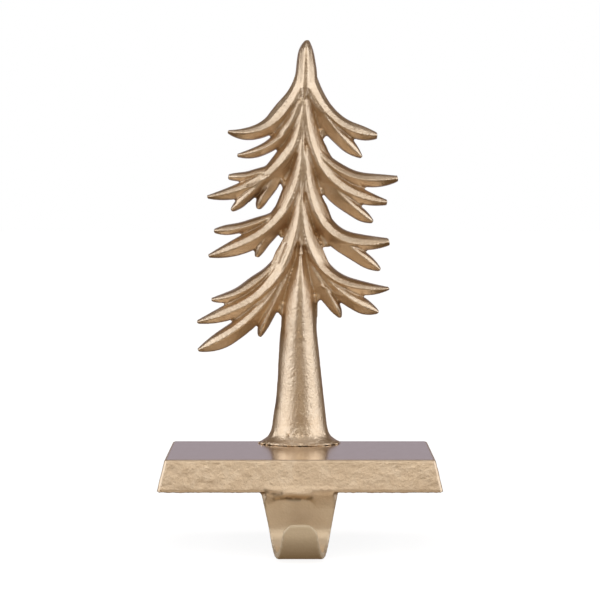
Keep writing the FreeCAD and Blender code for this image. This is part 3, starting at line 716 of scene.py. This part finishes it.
def new_material(name):
    """A material with its nodes, its links and its Principled shader."""
    material = bpy.data.materials.new(name)
    material.use_nodes = True
    nodes = material.node_tree.nodes
    shader = nodes.get("Principled BSDF")
    return material, nodes, material.node_tree.links, shader


def object_noise(nodes, links, scale, detail, roughness):
    """A noise texture in object space, in metres."""
    coordinates = nodes.new("ShaderNodeTexCoord")
    texture = nodes.new("ShaderNodeTexNoise")
    texture.inputs["Scale"].default_value = scale
    texture.inputs["Detail"].default_value = detail
    texture.inputs["Roughness"].default_value = roughness
    links.new(coordinates.outputs["Object"], texture.inputs["Vector"])
    return texture


def ramp(nodes, links, source, stops):
    """A colour ramp from (place, colour) stops."""
    node = nodes.new("ShaderNodeValToRGB")
    elements = node.color_ramp.elements
    while len(elements) < len(stops):
        elements.new(0.5)
    for element, (place, colour) in zip(elements, stops):
        element.position = place
        element.color = (*colour, 1.0)
    links.new(source, node.inputs["Fac"])
    return node


def attribute_value(nodes, name):
    """A value that the mesh carries at its vertices."""
    node = nodes.new("ShaderNodeAttribute")
    node.attribute_name = name
    return node.outputs["Fac"]


def mapped(nodes, links, source, low, high, start=0.0, end=1.0):
    """A value that runs from start to end spread between two others."""
    node = nodes.new("ShaderNodeMapRange")
    node.inputs["From Min"].default_value = start
    node.inputs["From Max"].default_value = end
    node.inputs["To Min"].default_value = low
    node.inputs["To Max"].default_value = high
    links.new(source, node.inputs["Value"])
    return node.outputs["Result"]


def product(nodes, links, first, second):
    """Two values multiplied."""
    node = nodes.new("ShaderNodeMath")
    node.operation = "MULTIPLY"
    links.new(first, node.inputs[0])
    links.new(second, node.inputs[1])
    return node.outputs["Value"]


def gold_material(name, gloss_range, bump_height, shade_colour, shade_share, base=False):
    """Champagne-gold lacquer over sand-cast metal: mottled, satin, grained, with painted shade in its
    hollows.
    """
    material, nodes, links, shader = new_material(name)
    cloud = object_noise(nodes, links, *CLOUD_NOISE)
    tint = ramp(nodes, links, cloud.outputs["Fac"], GOLD_STOPS)
    painted_shade = mapped(nodes, links, attribute_value(nodes, "painted_shade"), 0.0, shade_share)
    shade_mix = nodes.new("ShaderNodeMix")
    shade_mix.data_type = "RGBA"
    shade_mix.inputs["B"].default_value = (*shade_colour, 1.0)
    links.new(painted_shade, shade_mix.inputs["Factor"])
    links.new(tint.outputs["Color"], shade_mix.inputs["A"])
    links.new(shade_mix.outputs["Result"], shader.inputs["Base Color"])
    speck = object_noise(nodes, links, *SPECK_NOISE)
    gloss = mapped(nodes, links, speck.outputs["Fac"], *gloss_range)
    grain = mapped(nodes, links, speck.outputs["Fac"], 0.0, 1.0)
    if base:
        # the ground top is far smoother than the cast skin, and the hook's lacquer is paler and less
        # metallic, partly painted light
        ground = attribute_value(nodes, "ground")
        polish = nodes.new("ShaderNodeMix")
        links.new(ground, polish.inputs["Factor"])
        links.new(gloss, polish.inputs["A"])
        polish.inputs["B"].default_value = GROUND_ROUGHNESS
        gloss = polish.outputs["Result"]
        grain = product(nodes, links, grain, mapped(nodes, links, ground, 1.0, GROUND_GRAIN))
        hook = attribute_value(nodes, "hook")
        links.new(mapped(nodes, links, hook, 1.0, HOOK_METALLIC), shader.inputs["Metallic"])
        khaki_lift = nodes.new("ShaderNodeMix")
        khaki_lift.data_type = "RGBA"
        khaki_lift.inputs["B"].default_value = (*HOOK_KHAKI_LIFT, 1.0)
        links.new(hook, khaki_lift.inputs["Factor"])
        links.new(shade_mix.outputs["Result"], khaki_lift.inputs["A"])
        links.new(khaki_lift.outputs["Result"], shader.inputs["Base Color"])
    links.new(gloss, shader.inputs["Roughness"])
    bump = nodes.new("ShaderNodeBump")
    bump.inputs["Distance"].default_value = bump_height
    links.new(grain, bump.inputs["Height"])
    links.new(bump.outputs["Normal"], shader.inputs["Normal"])
    if not base:
        shader.inputs["Metallic"].default_value = 1.0
    shader.inputs["Coat Weight"].default_value = COAT_WEIGHT
    shader.inputs["Coat Roughness"].default_value = COAT_ROUGHNESS
    return material


def simple_material(name, colour, metallic, roughness):
    """A finish with a little noise in its colour and roughness."""
    material, nodes, links, shader = new_material(name)
    cloud = object_noise(nodes, links, *PLAIN_NOISE)
    darker = tuple(PLAIN_DARKER * part for part in colour)
    tint = ramp(nodes, links, cloud.outputs["Fac"], list(zip(PLAIN_STOPS, (darker, colour))))
    links.new(tint.outputs["Color"], shader.inputs["Base Color"])
    shader.inputs["Metallic"].default_value = metallic
    shader.inputs["Roughness"].default_value = roughness
    bump = nodes.new("ShaderNodeBump")
    bump.inputs["Distance"].default_value = PLAIN_BUMP
    links.new(cloud.outputs["Fac"], bump.inputs["Height"])
    links.new(bump.outputs["Normal"], shader.inputs["Normal"])
    return material


def dress(piece, material):
    """Give a piece one material."""
    piece.data.materials.clear()
    piece.data.materials.append(material)


def softbox(name, place, target, width, height, radiance, colour):
    """A rectangular softbox of an even brightness, aimed at a point and unseen by the camera."""
    data = bpy.data.lights.new(name, "AREA")
    data.shape = "RECTANGLE"
    data.size = width
    data.size_y = height
    data.energy = radiance * math.pi * width * height
    data.color = colour
    lamp = bpy.data.objects.new(name, data)
    bpy.context.scene.collection.objects.link(lamp)
    lamp.location = place
    aim = Vector(target) - Vector(place)
    lamp.rotation_euler = aim.to_track_quat("-Z", "Y").to_euler()
    lamp.visible_camera = False


def make_floor():
    """A pale floor just below the hook, which the metal doesn't mirror."""
    level = CAD_BOX[0].z - FLOOR_GAP
    mesh = bpy.data.meshes.new("floor")
    corners = [(-FLOOR_HALF, -FLOOR_HALF, level), (FLOOR_HALF, -FLOOR_HALF, level),
               (FLOOR_HALF, FLOOR_HALF, level), (-FLOOR_HALF, FLOOR_HALF, level)]
    mesh.from_pydata(corners, [], [(0, 1, 2, 3)])
    floor = bpy.data.objects.new("floor", mesh)
    bpy.context.scene.collection.objects.link(floor)
    material, nodes, links, shader = new_material("pale_floor")
    shader.inputs["Base Color"].default_value = (*FLOOR_GREY, 1.0)
    shader.inputs["Roughness"].default_value = 1.0
    shader.inputs["Specular IOR Level"].default_value = 0.0
    shader.inputs["Emission Color"].default_value = (1.0, 1.0, 1.0, 1.0)
    coordinates = nodes.new("ShaderNodeTexCoord")
    away = nodes.new("ShaderNodeVectorMath")
    away.operation = "LENGTH"
    links.new(coordinates.outputs["Object"], away.inputs[0])
    glow = mapped(nodes, links, away.outputs["Value"], *FLOOR_GLOW, *FLOOR_FADE)
    links.new(glow, shader.inputs["Emission Strength"])
    dress(floor, material)
    floor.visible_glossy = False
    floor.visible_diffuse = False
    floor.visible_shadow = False


def make_world():
    """White where the camera looks, dim and warm where the metal looks."""
    world = bpy.data.worlds.new("studio")
    bpy.context.scene.world = world
    world.use_nodes = True
    nodes = world.node_tree.nodes
    links = world.node_tree.links
    output = nodes.get("World Output")
    seen = nodes.get("Background")
    seen.inputs["Color"].default_value = (1.0, 1.0, 1.0, 1.0)
    seen.inputs["Strength"].default_value = 1.0
    mirrored = nodes.new("ShaderNodeBackground")
    mirrored.inputs["Color"].default_value = (*ROOM_COLOUR, 1.0)
    mirrored.inputs["Strength"].default_value = ROOM_STRENGTH
    path = nodes.new("ShaderNodeLightPath")
    mix = nodes.new("ShaderNodeMixShader")
    links.new(path.outputs["Is Camera Ray"], mix.inputs[0])
    links.new(mirrored.outputs["Background"], mix.inputs[1])
    links.new(seen.outputs["Background"], mix.inputs[2])
    links.new(mix.outputs["Shader"], output.inputs["Surface"])


def make_lights():
    """A softbox on either side, one above the camera, one on top, and a card behind and in front."""
    for light in LIGHTS:
        softbox(*light)


def make_camera():
    """The photograph's view."""
    data = bpy.data.cameras.new("camera")
    data.sensor_width = SENSOR_MM
    data.lens = FOCAL_PX / IMAGE_SIDE_PX * SENSOR_MM
    data.clip_start = CLIP_START
    camera = bpy.data.objects.new("camera", data)
    bpy.context.scene.collection.objects.link(camera)
    camera.location = (0.0, CAMERA_Y, CAMERA_Z)
    camera.rotation_euler = (math.radians(90.0 - CAMERA_TILT_DEG), 0.0, 0.0)
    bpy.context.scene.camera = camera


def main():
    bpy.context.scene.view_settings.view_transform = "Standard"
    make_camera()
    make_world()
    make_lights()
    make_floor()
    tree = make_tree_piece()
    base = make_base_piece()
    dress(tree, gold_material("gold_tree", TREE_GLOSS, TREE_BUMP, TREE_SHADE_COLOUR, TREE_SHADE_SHARE))
    dress(base, gold_material("gold_base", BASE_GLOSS, BASE_BUMP, BASE_SHADE_COLOUR, BASE_SHADE_SHARE, True))
    dress(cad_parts["tree_screws"], simple_material("zinc", *ZINC))
    dress(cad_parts["felt_pad"], simple_material("felt", *FELT))
    print("tree faces", len(tree.data.polygons), "base faces", len(base.data.polygons))


main()
